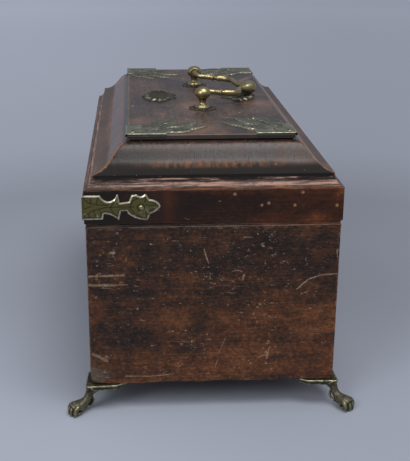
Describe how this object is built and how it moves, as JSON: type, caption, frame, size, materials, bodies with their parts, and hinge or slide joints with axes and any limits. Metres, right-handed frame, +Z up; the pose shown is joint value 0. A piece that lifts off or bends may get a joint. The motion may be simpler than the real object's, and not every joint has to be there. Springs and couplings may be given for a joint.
{
  "type": "tea caddy",
  "caption": "Mahogany caddy-topped box on brass paw feet, with a lifting lid, a swinging bail handle, brass corner mounts and a lock.",
  "frame": {"origin": "on the floor under the middle of the box", "axes": "+X along the box's length towards the pictured end, +Y towards the hinges at the back, +Z up; the lock is at the front, -Y"},
  "size_m": [0.2966, 0.1672, 0.1701],
  "materials": {
    "case_wood": "dark old mahogany, worn polish with flecks and scratches",
    "lid_wood": "dark red mahogany, worn along the edges",
    "panel_wood": "faded grey-brown mahogany with stains",
    "inner_wood": "dry unpolished mahogany",
    "baize": "faded green baize",
    "mount_brass": "tarnished grey-green brass",
    "band_brass": "olive-gold brass with bright worn edges",
    "foot_brass": "olive-gold cast brass, dark in the recesses",
    "handle_brass": "handled gold brass, dark in the recesses",
    "iron": "dull old iron"
  },
  "bodies": {
    "case": {"front_board": "case_wood", "back_board": "case_wood", "left_end_board": "case_wood", "right_end_board": "case_wood", "bottom_board": "inner_wood", "left_partition": "inner_wood", "right_partition": "inner_wood", "compartment_linings": "baize", "foot_front_left": "foot_brass", "foot_front_right": "foot_brass", "foot_back_left": "foot_brass", "foot_back_right": "foot_brass", "foot_screws": "iron", "keyhole_escutcheon": "mount_brass", "escutcheon_pins": "mount_brass", "lock_plate": "mount_brass", "lock_cap": "iron", "lock_spring": "iron", "lock_screws": "mount_brass", "left_hinge_body_leaf": "mount_brass", "right_hinge_body_leaf": "mount_brass", "hinge_pins": "iron", "hinge_body_screws": "mount_brass"},
    "lock_bolt": {"lock_bolt": "iron"},
    "lid": {"front_band_rail": "lid_wood", "back_band_rail": "lid_wood", "left_band_rail": "lid_wood", "right_band_rail": "lid_wood", "front_bead": "lid_wood", "back_bead": "lid_wood", "left_bead": "lid_wood", "right_bead": "lid_wood", "front_ogee": "lid_wood", "back_ogee": "lid_wood", "left_ogee": "lid_wood", "right_ogee": "lid_wood", "top_panel": "panel_wood", "corner_mount_front_left": "mount_brass", "corner_mount_front_right": "mount_brass", "corner_mount_back_left": "mount_brass", "corner_mount_back_right": "mount_brass", "corner_mount_pins": "mount_brass", "band_mount_left": "band_brass", "band_mount_right": "band_brass", "band_mount_pins": "mount_brass", "front_rest_plate": "mount_brass", "back_rest_plate": "mount_brass", "rest_plate_pins": "mount_brass", "left_post": "handle_brass", "right_post": "handle_brass", "left_rosette": "mount_brass", "right_rosette": "mount_brass", "post_nuts": "iron", "link_plate": "mount_brass", "link_plate_screws": "mount_brass", "left_hinge_lid_leaf": "mount_brass", "right_hinge_lid_leaf": "mount_brass", "hinge_lid_screws": "mount_brass"},
    "bail": {"bail": "handle_brass"}
  },
  "joints": [
    {"name": "lid_hinge", "type": "hinge", "parent": "case", "child": "lid", "pos_m": [0, 0.0725, 0.11015], "axis": [-1, 0, 0], "range_deg": [0, 100]},
    {"name": "bail_swing", "type": "hinge", "parent": "lid", "child": "bail", "pos_m": [0, 0, 0.1662], "axis": [1, 0, 0], "range_deg": [0, 192]},
    {"name": "bolt_slide", "type": "slide", "parent": "case", "child": "lock_bolt", "axis": [1, 0, 0], "range_m": [0, 0.005]}
  ]
}
